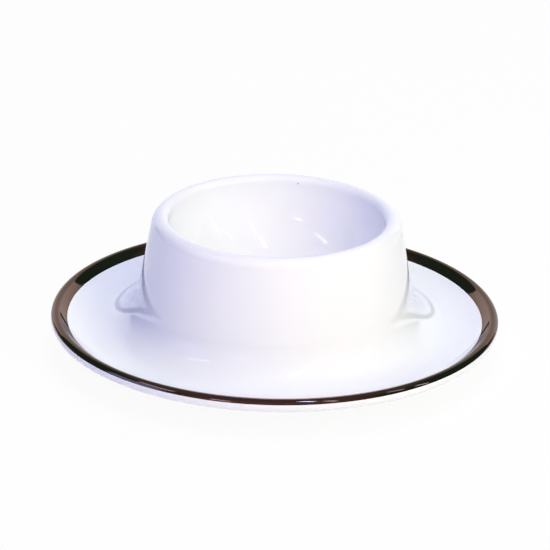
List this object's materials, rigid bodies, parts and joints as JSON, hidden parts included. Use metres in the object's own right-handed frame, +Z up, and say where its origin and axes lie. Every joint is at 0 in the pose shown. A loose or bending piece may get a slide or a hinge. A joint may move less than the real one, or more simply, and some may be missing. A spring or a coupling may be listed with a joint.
{
  "type": "egg cup with saucer",
  "caption": "Low egg cup joined to its own wide saucer in white glazed porcelain, with a dark mirror-bright metal band round the raised saucer rim.",
  "frame": {"origin": "centre of the foot ring, on the plane the part stands on", "axes": "+Z up along the axis that every piece is turned round, +X to the right and -Y towards the viewer in the picture"},
  "size_m": [0.1, 0.1, 0.032],
  "materials": {
    "saucer_porcelain": "clear glossy glaze on white porcelain, bare body on the foot ring's standing face",
    "cup_porcelain": "clear glossy glaze on white porcelain",
    "fillet_porcelain": "clear glossy glaze on white porcelain",
    "metal_lustre": "dark metal lustre fired over the glaze, mirror bright"
  },
  "bodies": {
    "root": {"saucer": "saucer_porcelain", "egg_cup": "cup_porcelain", "slip_fillet": "fillet_porcelain", "rim_band": "metal_lustre"}
  },
  "joints": []
}
